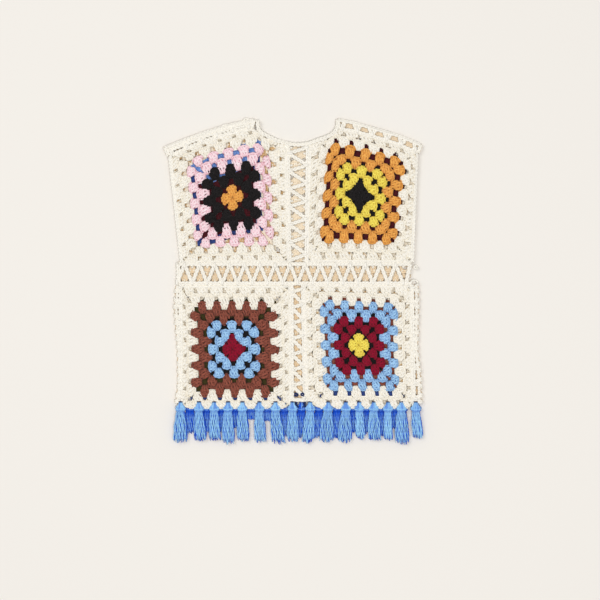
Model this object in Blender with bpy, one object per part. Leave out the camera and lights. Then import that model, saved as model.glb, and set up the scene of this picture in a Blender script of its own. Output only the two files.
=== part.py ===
"""Crochet vest of granny squares with a tasselled hem, laid flat with its front up.

Eight squares of seven rounds, four on each face, are joined by zigzag bands of chain: one at the
waist and one down the middle of each face, one folded over each shoulder and one down each side
below the armholes. Metres, +Z up, +Y towards the neck. The underside rests at z = 0.
"""

import math

import bmesh
import bpy
from mathutils import Vector

MM = 0.001

# Driving dimensions.
CLOTH = 3.6 * MM  # one layer of double crochet in worsted yarn
SEAM = 0.3 * MM  # clearance between neighbouring pieces
RIDGE = 0.8 * MM  # the middle of a round stands this far above the furrow beside it
ROUNDS = 7
EDGE = 7.2  # half of a square's side, counted in rounds
CREST = 0.45  # a round's ridge lies this far inside its outer furrow, in rounds
BAR = 6.4 * MM  # width of a zigzag bar, measured along its band
GAP_ROUND = 5  # the round whose gaps between clusters are cut through
CLUSTER_PITCH = 1.9  # from one cluster to the next along a side, in rounds
GAP_REACH = (-0.8, -0.1)  # a gap's inner and outer end, from its round's outer furrow, in rounds
GAP_HALF_WIDTHS = (0.43, 0.3)  # half of its width at those ends, in rounds
CUT_SPAN = (-5 * MM, 15 * MM)  # every cut runs right through the vest between these heights
FRONT_FLOOR = CLOTH + SEAM

# Edges of the squares in millimetres, x from the middle of the vest, y from the waist.
# Tops and bottoms run from left to right, left and right edges upwards.
SQUARES = {
    "upper_left": {
        "bottom": [(-145.6, 12.3), (-10.0, 12.3)],
        "top": [
            (-160.6, 146.6), (-130.6, 159.1), (-111.9, 166.6), (-81.9, 176.0),
            (-56.9, 181.6), (-44.4, 174.1), (-28.1, 165.4), (-11.9, 160.4),
        ],
        "colours": ["orange", "black", "black", "pink", "pink", "cream", "cream"],
    },
    "upper_right": {
        "bottom": [(11.3, 12.3), (144.4, 12.3)],
        "top": [
            (13.1, 160.4), (29.4, 165.4), (40.6, 171.0), (51.9, 179.8),
            (65.6, 178.5), (94.4, 170.8), (121.9, 162.3), (150.0, 150.4),
        ],
        "colours": ["black", "yellow", "yellow", "orange", "orange", "cream", "cream"],
    },
    "lower_left": {
        "bottom": [(-145.6, -169.0), (-6.9, -169.0)],
        "top": [(-145.6, -13.4), (-7.5, -13.4)],
        "colours": ["crimson", "blue", "blue", "brown", "brown", "cream", "cream"],
    },
    "lower_right": {
        "bottom": [(16.9, -169.0), (145.0, -169.0)],
        "top": [(6.9, -13.4), (142.5, -13.4)],
        "left": [(16.9, -169.0), (10.5, -155.0), (8.8, -138.0), (6.9, -13.4)],
        "colours": ["yellow", "crimson", "crimson", "blue", "blue", "cream", "cream"],
    },
}

# The back has the same squares in other colours; its first colour is the outermost one seen.
BACK_COLOUR = {
    "upper_left": "blue", "upper_right": "crimson", "lower_left": "orange", "lower_right": "brown",
}

COLOURS = {  # linear red, green and blue
    "cream": (0.87, 0.83, 0.72), "pink": (0.87, 0.45, 0.52), "black": (0.010, 0.010, 0.012),
    "orange": (0.80, 0.28, 0.035), "yellow": (0.86, 0.62, 0.03), "blue": (0.15, 0.40, 0.83),
    "brown": (0.24, 0.075, 0.042), "crimson": (0.26, 0.005, 0.022),
}

# Where the side bands are sewn to the front, in millimetres, upwards.
SIDE_SEAMS = {
    "left": [(-145.6, -160.0), (-145.6, -14.0)],
    "right": [(144.9, -160.0), (142.5, -14.0)],
}
# The outer line of each fold, in millimetres: shoulders from left to right, sides upwards.
SHOULDER_FOLDS = {
    "left": [(-166.3, 158.5), (-135.0, 170.8), (-115.0, 178.0), (-84.0, 187.2), (-53.5, 193.5)],
    "right": [(50.0, 193.5), (69.0, 190.3), (98.0, 182.0), (127.5, 173.5), (154.6, 162.3)],
}
SIDE_FOLDS = {
    "left": [(-154.5, -160.0), (-151.0, -140.0), (-151.5, -100.0), (-156.0, -45.0), (-154.0, -14.0)],
    "right": [(157.3, -160.0), (156.5, -130.0), (152.3, -95.0), (153.5, -40.0), (153.0, -14.0)],
}
FOLD_FLAT = 0.37  # share of a folded band, from either edge, that lies flat
FOLD_FACETS = 3
WAIST_ENDS = (-154.0, 155.0)
MIDDLE_FOOT = {"left": (-7.0, -160.0), "right": (10.6, -160.0)}  # the middle stops above the hem

# Knots of each zigzag band, as shares of its length: the first one, the steps to the second and
# from there to the third, which then repeat, how many there are, and the edge of the first.
KNOT_COLUMNS = ("first", "out", "back", "count", "edge")
BAND_KNOTS = {
    "waist": (0.0125, 0.0304, 0.0304, 33, 1),
    "middle_upper": (0.024, 0.050, 0.100, 14, 1),
    "middle_lower": (0.039, 0.029, 0.1035, 15, 1),
    "shoulder": (0.040, 0.092, 0.092, 11, 0),
    "side": (0.025, 0.0678, 0.0678, 15, 0),
}

# Tassels from left to right: millimetres from the middle, width of the skirt's end, how far the
# end stands to the right of the knot, and length from the knot to the end.
TASSEL_COLUMNS = ("x", "spread", "lean", "length")
FRONT_TASSELS = [
    (-145.6, 18.0, -0.5, 39.0), (-122.8, 16.0, 2.0, 36.5), (-103.8, 15.0, 1.0, 37.0),
    (-86.5, 15.5, 0.5, 41.0), (-68.6, 15.5, 1.0, 37.5), (-47.4, 15.0, 1.2, 39.0),
    (-27.4, 17.5, 4.0, 40.5), (-6.2, 15.5, 1.0, 38.5), (15.8, 16.0, -2.5, 39.5),
    (38.1, 17.5, -2.0, 38.5), (60.4, 18.5, -1.5, 39.5), (77.1, 12.5, 1.5, 35.0),
    (95.0, 17.0, 1.5, 37.0), (112.9, 11.0, 0.5, 36.5), (129.6, 18.0, 1.0, 41.0),
    (147.4, 13.5, 3.0, 34.0),
]
BACK_TASSELS = [
    (-134.4, 14.0, 0.5, 30.0), (-113.2, 13.5, -0.5, 33.0), (-95.2, 13.0, 1.0, 34.0),
    (-77.6, 13.5, -1.0, 33.0), (-57.8, 14.0, 0.5, 18.0), (-37.2, 14.0, 0.0, 20.0),
    (-16.5, 14.0, 1.0, 33.0), (4.8, 14.0, -0.5, 34.0), (26.8, 14.0, 0.5, 34.0),
    (49.1, 14.0, -0.5, 33.0), (68.8, 13.0, 0.5, 33.0), (86.0, 13.0, 0.0, 31.0),
    (104.0, 13.0, 0.5, 33.0), (121.2, 12.5, -0.5, 32.0), (137.2, 12.0, 0.5, 32.0),
    (151.5, 10.0, 1.0, 30.0),
]
NOTCH_TOP = -163.4  # the hem's clusters part at this height, and a knot sits in each notch
NOTCH_DEPTH = 7.0
NOTCH_HALF_WIDTHS = (2.3, 6.4)  # at its top and at NOTCH_DEPTH below
# Down a tassel's knot: millimetres from its top, half width, and share of its full thickness.
KNOT_ROWS = [(0.0, 1.9, 0.75), (-4.6, 2.6, 0.85), (-6.8, 4.7, 1.0), (-9.2, 4.9, 1.0), (-11.4, 3.9, 0.8)]
KNOT_SIDES = 6
KNOT_DEPTH = {"front": 2.3, "back": 1.65}  # half of a knot's thickness
KNOT_HEIGHT = {"front": 6.4, "back": 2.0}  # of a knot's middle above the floor
LOCK_LAYERS = {  # height, half thickness and number of locks in each layer of a skirt
    "front": [(6.9, 0.85, 4), (4.95, 0.8, 3)],
    "back": [(2.75, 0.65, 3), (1.1, 0.6, 3)],
}
LOCK_GAP = 0.3  # between neighbouring locks
# Down a lock, as shares of the skirt's own sizes: distance from the knot, lean, spread, the lock's
# share of its place in the row, its thickness, and how far it has settled into its layer.
LOCK_COLUMNS = ("down", "lean", "spread", "width", "thick", "layer")
LOCK_STATIONS = [
    (-0.08, 0.0, 0.36, 0.36, 0.45, 0.6),
    (0.38, 0.35, 0.78, 0.74, 1.0, 1.0),
    (1.0, 1.0, 1.0, 0.97, 1.0, 1.0),
]


def along(points, share):
    """The point at this share of a polyline's length; beyond its ends the line runs on."""
    lengths = [math.dist(a, b) for a, b in zip(points, points[1:])]
    left = share * sum(lengths)
    for a, b, length in zip(points, points[1:], lengths):
        if left <= length or b == points[-1]:
            return Vector(a).lerp(Vector(b), left / length)
        left -= length
    return Vector(points[-1])


def shares(points):
    """Where each point of a polyline lies, as a share of its length, without the last."""
    lengths = [math.dist(a, b) for a, b in zip(points, points[1:])]
    return [sum(lengths[:index]) / sum(lengths) for index in range(len(lengths))]


class Square:
    """A granny square's surface: rounds counted outwards from its middle, to metres."""

    def __init__(self, row):
        self.bottom = row["bottom"]
        self.top = row["top"]
        self.left = row.get("left", [self.bottom[0], self.top[0]])
        self.right = row.get("right", [self.bottom[-1], self.top[-1]])

    def at(self, across, up):
        """Both counts run from -EDGE to EDGE; the four edges are blended between them."""
        u, v = (across / EDGE + 1) / 2, (up / EDGE + 1) / 2
        ends = Vector(self.bottom[0]).lerp(Vector(self.bottom[-1]), u)
        ends = ends.lerp(Vector(self.top[0]).lerp(Vector(self.top[-1]), u), v)
        rows = along(self.bottom, u).lerp(along(self.top, u), v)
        columns = along(self.left, v).lerp(along(self.right, v), u)
        return (rows + columns - ends) * MM

    def loop(self, reach, z):
        """One turn of points round the square, anticlockwise, this many rounds out."""
        turns = [(share, 0.0) for share in shares(self.bottom)]
        turns += [(1.0, share) for share in shares(self.right)]
        turns += [(1 - share, 1.0) for share in shares(self.top[::-1])]
        turns += [(0.0, 1 - share) for share in shares(self.left[::-1])]
        return [
            self.at((2 * u - 1) * reach, (2 * v - 1) * reach).to_3d() + Vector((0, 0, z))
            for u, v in turns
        ]


def yarn(colour):
    """The matt cotton yarn of one colour."""
    name = colour + " yarn"
    material = bpy.data.materials.get(name)
    if material is None:
        material = bpy.data.materials.new(name)
        material.use_nodes = True
        shader = material.node_tree.nodes["Principled BSDF"]
        shader.inputs["Base Color"].default_value = (*COLOURS[colour], 1)
        shader.inputs["Roughness"].default_value = 0.9
        material.diffuse_color = (*COLOURS[colour], 1)
    return material


def add_object(name, shape, colours, parent):
    shape.normal_update()
    bmesh.ops.recalc_face_normals(shape, faces=shape.faces)
    mesh = bpy.data.meshes.new(name)
    shape.to_mesh(mesh)
    shape.free()
    for colour in colours:
        mesh.materials.append(yarn(colour))
    piece = bpy.data.objects.new(name, mesh)
    piece.parent = parent
    bpy.context.scene.collection.objects.link(piece)
    return piece


def skin(shape, loops, slots=None):
    """Bridges loops of points in turn and closes both ends."""
    rings = [[shape.verts.new(point) for point in loop] for loop in loops]
    for index, (ring, following) in enumerate(zip(rings, rings[1:])):
        for side in range(len(ring)):
            after = (side + 1) % len(ring)
            face = shape.faces.new((ring[side], ring[after], following[after], following[side]))
            face.material_index = slots[index] if slots else 0
    shape.faces.new(rings[0][::-1]).material_index = slots[0] if slots else 0
    shape.faces.new(rings[-1]).material_index = slots[-1] if slots else 0


def plate(shape, outline, low, high):
    """A flat outline with a thickness, from z low to z high."""
    skin(shape, [[Vector((*point, z)) for point in outline] for z in (low, high)])


def gap_outlines(square):
    """Four corners of each gap between the clusters of GAP_ROUND, on all four sides."""
    inner, outer = (GAP_ROUND + reach for reach in GAP_REACH)
    wide, narrow = GAP_HALF_WIDTHS
    outlines = []
    for turn in range(4):
        for gap in range(GAP_ROUND - 1):
            middle = (gap - (GAP_ROUND - 2) / 2) * CLUSTER_PITCH
            corners = [
                (middle - wide, inner), (middle + wide, inner),
                (middle + narrow, outer), (middle - narrow, outer),
            ]
            for _ in range(turn):
                corners = [(-up, across) for across, up in corners]
            outlines.append([square.at(across, up) for across, up in corners])
    return outlines


def notch_outlines(rows):
    """The notch round each knot at the hem, open below."""
    outlines = []
    high, low = NOTCH_TOP, NOTCH_TOP - NOTCH_DEPTH
    narrow, wide = NOTCH_HALF_WIDTHS
    for x, *_ in rows:
        corners = [(x - wide, low), (x + wide, low), (x + narrow, high), (x - narrow, high)]
        outlines.append([Vector(corner) * MM for corner in corners])
    return outlines


def cut(piece, outlines, parent):
    """Cuts each outline right through the piece."""
    cutters = bmesh.new()
    for outline in outlines:
        plate(cutters, outline, *CUT_SPAN)
    cutter = add_object(piece.name + "_gaps", cutters, [], parent)
    cutter.hide_render = True
    cutter.display_type = "WIRE"
    boolean = piece.modifiers.new("gaps", "BOOLEAN")
    boolean.operation = "DIFFERENCE"
    boolean.solver = "EXACT"
    boolean.object = cutter


def front_square(place, row, parent):
    """Seven ridged rounds over a plain inside."""
    square, top = Square(row), FRONT_FLOOR + CLOTH
    colours = sorted(set(row["colours"]))
    loops, slots = [], []
    for number in range(1, ROUNDS + 1):
        slot = colours.index(row["colours"][number - 1])
        loops += [square.loop(number - CREST, top + RIDGE)]
        loops += [square.loop(EDGE if number == ROUNDS else number, top)]
        slots += [slot, slot]
    loops += [square.loop(EDGE, FRONT_FLOOR)]
    shape = bmesh.new()
    skin(shape, loops, slots)
    piece = add_object("front_square_" + place, shape, colours, parent)
    notches = notch_outlines(FRONT_TASSELS) if place.startswith("lower") else []
    cut(piece, gap_outlines(square) + notches, parent)


def back_square(place, row, parent):
    """Plain on both faces: one lies on the floor and the front covers the other."""
    square = Square(row)
    shape = bmesh.new()
    skin(shape, [square.loop(EDGE, 0.0), square.loop(EDGE, CLOTH)])
    piece = add_object("back_square_" + place, shape, [BACK_COLOUR[place]], parent)
    notches = notch_outlines(BACK_TASSELS) if place.startswith("lower") else []
    cut(piece, gap_outlines(square) + notches, parent)


def zigzag(knots, bar):
    """A sheet one unit thick in shares along and across: a triangle at each knot, then bars.

    Each knot is (share along, edge), with edges 0 and 1 in turn. A bar keeps its width along the
    band, and two bars that leave one knot part where their sides cross.
    """
    sheet = bmesh.new()
    rows = []
    for index, (place, edge) in enumerate(knots):
        left = sheet.verts.new((place - bar / 2, edge, 0))
        right = sheet.verts.new((place + bar / 2, edge, 0))
        notch = left if index == 0 else right
        if 0 < index < len(knots) - 1:
            before, after = knots[index - 1][0], knots[index + 1][0]
            depth = bar / (after - before)
            parting = place - bar / 2 + depth * (after - place)
            notch = sheet.verts.new((parting, abs(edge - depth), 0))
            sheet.faces.new((left, right, notch))
        rows.append((left, right, notch))
    for (_, right, notch), (next_left, _, next_notch) in zip(rows, rows[1:]):
        sheet.faces.new((notch, right, next_notch, next_left))
    bmesh.ops.recalc_face_normals(sheet, faces=sheet.faces)
    return sheet


def thicken(sheet):
    """Gives a flat sheet a thickness of one unit, from z = 0 to z = 1."""
    bmesh.ops.solidify(sheet, geom=sheet.faces[:], thickness=1.0)
    low = min(vert.co.z for vert in sheet.verts)
    for vert in sheet.verts:
        vert.co.z = round(vert.co.z - low)


def band_knots(band):
    """A band's knots as (share of its length, edge), with the edges in turn."""
    row = dict(zip(KNOT_COLUMNS, BAND_KNOTS[band]))
    repeat = row["out"] + row["back"]
    return [
        (row["first"] + repeat * (n // 2) + row["out"] * (n % 2), (row["edge"] + n) % 2)
        for n in range(row["count"])
    ]


def flat_band(name, edges, knots, floor, parent):
    """A zigzag band that lies flat between two edges, given in millimetres."""
    length = sum(math.dist(a, b) for a, b in zip(edges[0], edges[0][1:])) * MM
    sheet = zigzag(knots, BAR / length)
    thicken(sheet)
    for vert in sheet.verts:
        place, across, up = vert.co
        plan = along(edges[0], place).lerp(along(edges[1], place), across) * MM
        vert.co = (*plan, floor + up * CLOTH)
    add_object(name, sheet, ["cream"], parent)


def folded_band(name, seam, fold, knots, parent):
    """A zigzag band from the front's edge over a fold to the back's edge beneath it."""
    length = sum(math.dist(a, b) for a, b in zip(seam, seam[1:])) * MM
    sheet = zigzag(knots, BAR / length)
    curled = 1 - 2 * FOLD_FLAT
    for facet in range(FOLD_FACETS + 1):
        everything = sheet.verts[:] + sheet.edges[:] + sheet.faces[:]
        across = FOLD_FLAT + curled * facet / FOLD_FACETS
        bmesh.ops.bisect_plane(sheet, geom=everything, plane_co=(0, across, 0), plane_no=(0, 1, 0))
    thicken(sheet)
    middle_radius = (CLOTH + SEAM) / 2
    for vert in sheet.verts:
        place, across, up = vert.co
        start, line = along(seam, place) * MM, along(fold, place) * MM
        away = (line - start).normalized()
        flat = (line - start).length - middle_radius - CLOTH / 2 - SEAM
        turn = min(max((across - FOLD_FLAT) / curled, 0.0), 1.0) * math.pi
        reach = SEAM + flat * min(across, 1 - across, FOLD_FLAT) / FOLD_FLAT
        radius = middle_radius + (up - 0.5) * CLOTH
        plan = start + away * (reach + radius * math.sin(turn))
        vert.co = (*plan, CLOTH + SEAM / 2 + radius * math.cos(turn))
    add_object(name, sheet, ["cream"], parent)


def tassel(name, face, row, parent):
    """A knot with two layers of locks that stand apart below it."""
    row = dict(zip(TASSEL_COLUMNS, row))
    middle, depth = KNOT_HEIGHT[face], KNOT_DEPTH[face]
    top = NOTCH_TOP - SEAM / MM
    knot = bmesh.new()
    turns = [2 * math.pi * (index + 0.5) / KNOT_SIDES for index in range(KNOT_SIDES)]
    skin(knot, [
        [
            Vector((
                row["x"] + half * math.cos(turn), top + down, middle + depth * thick * math.sin(turn)
            )) * MM
            for turn in turns
        ]
        for down, half, thick in KNOT_ROWS
    ])
    locks = bmesh.new()
    root = top + KNOT_ROWS[-1][0]
    for height, thick, count in LOCK_LAYERS[face]:
        for number in range(count):
            share = (number + 0.5) / count - 0.5
            length = row["length"] * (0.97 + 0.03 * ((number * 2 + count) % 3))
            loops = []
            for station in LOCK_STATIONS:
                at = dict(zip(LOCK_COLUMNS, station))
                x = row["x"] + row["lean"] * at["lean"] + row["spread"] * at["spread"] * share
                z = middle + at["layer"] * (height - middle)
                half = at["width"] * row["spread"] / count / 2 - LOCK_GAP / 2
                deep = at["thick"] * thick
                loops.append([
                    Vector((x + across * half, root - at["down"] * length, z + up * deep)) * MM
                    for across, up in ((-1, -1), (1, -1), (1, 1), (-1, 1))
                ])
            skin(locks, loops)
    backing = add_object(name, knot, ["blue"], parent)
    fringe = add_object(name + "_locks", locks, [], parent)
    fringe.hide_render = True
    fringe.display_type = "WIRE"
    join = backing.modifiers.new("locks", "BOOLEAN")
    join.operation = "UNION"
    join.solver = "EXACT"
    join.object = fringe


def moved(points, right):
    return [(x + right, y) for x, y in points]


def flat_bands(parent):
    """The waist and middle bands of both faces."""
    rows = {place: Square(row) for place, row in SQUARES.items()}
    clear = SEAM / MM
    waist_top = rows["upper_left"].bottom[0][1] - clear
    waist_bottom = rows["lower_left"].top[0][1] + clear
    waist = [[(end, y) for end in WAIST_ENDS] for y in (waist_top, waist_bottom)]
    upper = (
        moved([rows["upper_left"].top[-1], rows["upper_left"].bottom[-1]], clear),
        moved([rows["upper_right"].top[0], rows["upper_right"].bottom[0]], -clear),
    )
    lower = (
        moved([rows["lower_left"].top[-1], MIDDLE_FOOT["left"]], clear),
        moved(rows["lower_right"].left[:1:-1] + [MIDDLE_FOOT["right"]], -clear),
    )
    for face, floor in (("back", 0.0), ("front", FRONT_FLOOR)):
        flat_band(face + "_waist_band", waist, band_knots("waist"), floor, parent)
        flat_band(face + "_middle_band_upper", upper, band_knots("middle_upper"), floor, parent)
        flat_band(face + "_middle_band_lower", lower, band_knots("middle_lower"), floor, parent)


def folded_bands(parent):
    """The bands that join the back to the front, over the shoulders and down the sides."""
    tops = {"left": SQUARES["upper_left"]["top"][:5], "right": SQUARES["upper_right"]["top"][3:]}
    for side in ("left", "right"):
        shoulder, flank = "shoulder_band_" + side, "side_band_" + side
        folded_band(shoulder, tops[side], SHOULDER_FOLDS[side], band_knots("shoulder"), parent)
        folded_band(flank, SIDE_SEAMS[side], SIDE_FOLDS[side], band_knots("side"), parent)


def centre_on_floor(frame):
    """Moves the whole vest so that the middle of its box lies over the origin."""
    solid = [piece for piece in frame.children if not piece.name.endswith("_gaps")]
    corners = [vert.co for piece in solid for vert in piece.data.vertices]
    for axis in (0, 1):
        values = [corner[axis] for corner in corners]
        frame.location[axis] = -(min(values) + max(values)) / 2


def build():
    for old in list(bpy.data.objects):
        bpy.data.objects.remove(old)
    frame = bpy.data.objects.new("vest", None)
    bpy.context.scene.collection.objects.link(frame)
    for place, row in SQUARES.items():
        front_square(place, row, frame)
        back_square(place, row, frame)
    flat_bands(frame)
    folded_bands(frame)
    for face, rows in (("front", FRONT_TASSELS), ("back", BACK_TASSELS)):
        for number, row in enumerate(rows, 1):
            tassel(f"{face}_tassel_{number:02d}", face, row, frame)
    centre_on_floor(frame)


build()
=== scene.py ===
import math
import random

import bmesh
import bpy
import numpy as np
from mathutils import Matrix, Vector


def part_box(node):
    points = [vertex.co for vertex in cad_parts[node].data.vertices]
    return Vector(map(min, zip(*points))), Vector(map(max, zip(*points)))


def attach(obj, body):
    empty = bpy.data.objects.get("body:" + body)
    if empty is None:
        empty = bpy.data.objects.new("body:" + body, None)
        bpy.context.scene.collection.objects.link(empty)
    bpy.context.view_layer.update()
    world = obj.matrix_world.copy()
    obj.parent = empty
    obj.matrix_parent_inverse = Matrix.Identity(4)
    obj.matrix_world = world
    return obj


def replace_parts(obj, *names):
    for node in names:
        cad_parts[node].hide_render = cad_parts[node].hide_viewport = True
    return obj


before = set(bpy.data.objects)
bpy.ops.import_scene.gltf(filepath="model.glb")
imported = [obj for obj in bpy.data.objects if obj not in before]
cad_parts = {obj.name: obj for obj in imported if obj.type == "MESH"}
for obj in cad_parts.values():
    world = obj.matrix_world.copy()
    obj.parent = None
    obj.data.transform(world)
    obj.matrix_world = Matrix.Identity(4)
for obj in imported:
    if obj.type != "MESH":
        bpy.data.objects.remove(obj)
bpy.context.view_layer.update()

mm = 0.001
bodyName = "root"


# colours and materials

yarnColours = {  # sRGB base and deep shade of each worsted cotton, and how far flecks go to it
    "cream": ("faf6ed", "f0e5cd", 0.4),
    # the back layer's cream, a touch warmer; its tan deep colour is mostly painted shade where the
    # back faces the front, on the bands and, deeper, on the squares; its flecks go part of the way
    # to it too
    "creamPaintedShadeInside": ("f8eedb", "e7cca6", 0.3),
    "creamPaintedShadeUnder": ("f8eedb", "dfb67c", 0.3),
    "pink": ("fff0f4", "ea94a9", 0.7),
    "black": ("1b1718", "070505", 0.6),
    "orange": ("fdba5e", "a9540f", 0.75),
    "yellow": ("ffee68", "c08f14", 0.65),
    "lightBlue": ("b2deff", "1f52a6", 0.95),
    # painted light: the back's blue where light gets in at the neck; the same yarn is drawn navy
    # where it lies in shade
    "denim": ("7fa4e2", "2a4a9c", 0.9),
    "navy": ("374c8c", "17244f", 0.6),
    "brown": ("9f5847", "2e0d05", 1.0),
    "crimson": ("98062e", "4a0211", 0.5),
    "maroon": ("4c1019", "1f0508", 0.6),
    "olive": ("433c1a", "1f1b08", 0.6),
    "tassel": ("a4daff", "0852d4", 0.1),
}
yarnLook = {
    "plies": 3,  # plies that show round one strand
    "lay": 5.0,  # mm of strand for a ply to go round once; drawn coarse, so that it shows
    "groove": 0.35,  # mm of depth between the plies
    "fleck": 1.5,  # mm across a fleck of shade in the spun cotton
    "fleckNoise": (0.53, 0.68),  # noise at which a fleck starts, and at which it is full
    "fuzz": 0.45,  # mm between fibres standing off the strand, drawn coarse as well
    "fibre": 0.25,  # mm that they stand off
    "uneven": 0.16,  # most that one strand is deeper in colour than the next
}


def linearColour(code):  # an sRGB hex value as linear red, green, blue and alpha
    channels = [int(code[place:place + 2], 16) / 255 for place in (0, 2, 4)]
    return [c / 12.92 if c <= 0.04045 else ((c + 0.055) / 1.055) ** 2.4 for c in channels] + [1.0]


def addNode(tree, kind, settings=(), links=()):  # one node with its settings and what feeds it
    node = tree.nodes.new(kind)
    for name, value in dict(settings).items():
        if name in node.inputs:
            node.inputs[name].default_value = value
        else:
            setattr(node, name, value)
    for name, source in dict(links).items():
        tree.links.new(source, node.inputs[name])
    return node


def cottonYarn(name):
    # spun worsted cotton: matt and slightly hairy, its plies catching light in short strokes
    base, deep = (linearColour(code) for code in yarnColours[name][:2])
    material = bpy.data.materials.new(name + " worsted cotton")
    material.use_nodes = True
    material.diffuse_color = base
    tree = material.node_tree
    shader = tree.nodes["Principled BSDF"]
    shader.inputs["Roughness"].default_value = 0.82
    shader.inputs["Specular IOR Level"].default_value = 0.2
    shader.inputs["Sheen Weight"].default_value = 0.1
    shader.inputs["Sheen Roughness"].default_value = 0.45
    place = addNode(tree, "ShaderNodeTexCoord")
    flecks = addNode(
        tree, "ShaderNodeTexNoise",
        {"Scale": 1 / (yarnLook["fleck"] * mm), "Detail": 3.0, "Roughness": 0.6},
        {"Vector": place.outputs["Object"]},
    )
    start, full = yarnLook["fleckNoise"]
    share = addNode(
        tree, "ShaderNodeMapRange",
        {"From Min": start, "From Max": full, "To Max": yarnColours[name][2]},
        {"Value": flecks.outputs["Fac"]},
    )
    shade = addNode(tree, "ShaderNodeAttribute", {"attribute_name": "shade"})
    deeper = addNode(  # keeps the shade between 0 and 1
        tree, "ShaderNodeMapRange",
        {"From Min": 0.0, "From Max": 1.0, "To Max": 1.0},
        {"Value": shade.outputs["Fac"]},
    )
    most = addNode(
        tree, "ShaderNodeMath", {"operation": "MAXIMUM"},
        {0: share.outputs["Result"], 1: deeper.outputs["Result"]},
    )
    colour = addNode(
        tree, "ShaderNodeMix", {"data_type": "RGBA"}, {"Factor": most.outputs["Value"]}
    )
    colourIn = [socket for socket in colour.inputs if socket.type == "RGBA"]
    colourIn[0].default_value = base
    colourIn[1].default_value = deep
    colourOut = [socket for socket in colour.outputs if socket.type == "RGBA"][0]
    tree.links.new(colourOut, shader.inputs["Base Color"])
    spun = addNode(
        tree, "ShaderNodeMapping",
        {"Scale": (2 * math.pi * yarnLook["plies"] / 10, 2 * math.pi / (10 * yarnLook["lay"]), 0)},
        {"Vector": place.outputs["UV"]},
    )
    plies = addNode(
        tree, "ShaderNodeTexWave", {"bands_direction": "DIAGONAL", "Scale": 1.0, "Distortion": 0.6},
        {"Vector": spun.outputs["Vector"]},
    )
    grooves = addNode(
        tree, "ShaderNodeBump", {"Strength": 0.7, "Distance": yarnLook["groove"] * mm},
        {"Height": plies.outputs["Fac"]},
    )
    fuzz = addNode(
        tree, "ShaderNodeTexNoise", {"Scale": 1 / (yarnLook["fuzz"] * mm), "Detail": 2.0},
        {"Vector": place.outputs["Object"]},
    )
    fibres = addNode(
        tree, "ShaderNodeBump", {"Strength": 0.5, "Distance": yarnLook["fibre"] * mm},
        {"Height": fuzz.outputs["Fac"], "Normal": grooves.outputs["Normal"]},
    )
    tree.links.new(fibres.outputs["Normal"], shader.inputs["Normal"])
    return material


yarns = {name: cottonYarn(name) for name in yarnColours}
print("yarns spun")


# strands and pieces

def addTo(shape, part):  # moves all of one bmesh into another
    passing = bpy.data.meshes.new("passing")
    part.to_mesh(passing)
    part.free()
    shape.from_mesh(passing)
    bpy.data.meshes.remove(passing)


def strand(shape, points, radii, sides=5, shade=0.0):
    # a closed tube of yarn: a small round is drawn out from point to point of its path, in mm;
    # shade, one or one a point, takes its colour towards the deep one
    shades = shade if isinstance(shade, list) else [shade] * len(points)
    tube = bmesh.new()
    around, along, tone = (
        tube.verts.layers.float.new(name) for name in ("around", "along", "shade")
    )
    ends = [points[0]] + list(points) + [points[-1]]
    courses = [(after - before).normalized() for before, after in zip(ends, ends[2:])]
    ring = bmesh.ops.create_circle(tube, cap_ends=True, segments=sides, radius=1.0)["verts"]
    for number, vert in enumerate(ring):
        vert[around] = number / sides
    cap = ring[0].link_faces[0]
    heading = Vector((0, 0, 1)).rotation_difference(courses[0])
    length, last = 0.0, None
    for number, (point, radius, course) in enumerate(zip(points, radii, courses)):
        if number:
            heading = courses[number - 1].rotation_difference(course) @ heading
            length += (point - points[number - 1]).length
            made = bmesh.ops.extrude_face_region(tube, geom=[cap])["geom"]
            if number > 1:  # the cap it was drawn from is inside the strand now
                bmesh.ops.delete(tube, geom=[cap], context="FACES_ONLY")
            ring = [part for part in made if isinstance(part, bmesh.types.BMVert)]
            cap = next(part for part in made if isinstance(part, bmesh.types.BMFace))
        place = Matrix.Translation(point) @ heading.to_matrix().to_4x4() @ Matrix.Scale(radius, 4)
        step = place @ last.inverted() if last else place
        bmesh.ops.transform(tube, matrix=step, verts=ring)
        for vert in ring:
            vert[along], vert[tone] = length, shades[number]
        last = place
    layer = tube.loops.layers.uv.new("plies")  # turns round the strand, millimetres along it
    for face in tube.faces:
        face.smooth = True
        turns = [loop.vert[around] for loop in face.loops]
        wraps = max(turns) - min(turns) > 0.5
        for loop, turn in zip(face.loops, turns):
            loop[layer].uv = (turn + (1.0 if wraps and turn < 0.5 else 0.0), loop.vert[along])
    bmesh.ops.recalc_face_normals(tube, faces=tube.faces)
    addTo(shape, tube)


chain = {  # chain stitch, in mm
    "link": 5.0,
    "steps": 4,  # points to a link
    "radius": 1.55,
    "spread": 1.3,  # from the middle of a chain to the middle of either of its two strands
    # shares of the spread and of the radius where two links meet, and how much is added to them
    # in the middle of a link
    "parting": (0.35, 0.75), "swelling": (0.85, 0.2),
    "skew": 0.75,  # below 1, a link is widest before its middle
    "drop": 0.7,  # from where a link starts to where it ends
    "begins": 0.3,  # most of a link that is past where a chain starts
    "endRadius": 0.6,  # share of the radius at the ends of a chain
}


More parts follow.
